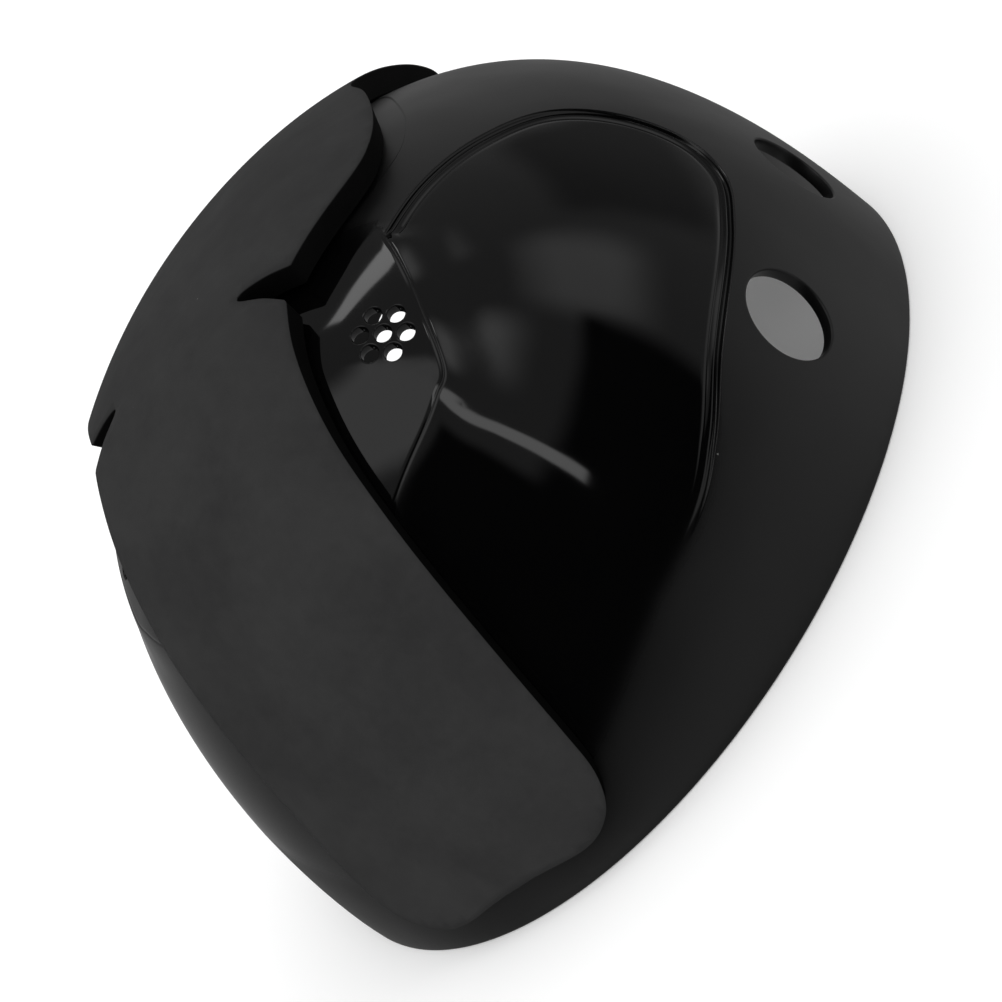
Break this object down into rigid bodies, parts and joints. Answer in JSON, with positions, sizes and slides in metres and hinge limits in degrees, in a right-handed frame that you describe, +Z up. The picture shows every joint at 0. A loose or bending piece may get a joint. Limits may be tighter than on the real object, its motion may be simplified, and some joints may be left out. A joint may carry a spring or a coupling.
{
  "type": "bump cap insert",
  "caption": "Hard moulded shell for the inside of a baseball cap, with vents, round rim holes, a foam pad over the front and crown and cushion pads inside.",
  "frame": {"origin": "middle of the rim oval, on the plane that the rim rests on", "axes": "+Z up to the crown, +X to the wearer's left, -Y the way the wearer looks"},
  "size_m": [0.164, 0.2007, 0.1058],
  "materials": {
    "shell_plastic": "black moulded ABS, high gloss in the side panels and satin round the rim",
    "outer_foam": "matte black closed-cell EVA foam",
    "inner_foam": "matte dark grey closed-cell EVA foam",
    "adhesive_film": "translucent double-sided adhesive film"
  },
  "bodies": {
    "root": {"shell": "shell_plastic", "outer_pad": "outer_foam", "outer_film": "adhesive_film", "forehead_pad": "inner_foam", "forehead_film": "adhesive_film", "crown_pad": "inner_foam", "crown_film": "adhesive_film", "nape_pad": "inner_foam", "nape_film": "adhesive_film", "left_pad": "inner_foam", "left_film": "adhesive_film", "right_pad": "inner_foam", "right_film": "adhesive_film"}
  },
  "joints": []
}
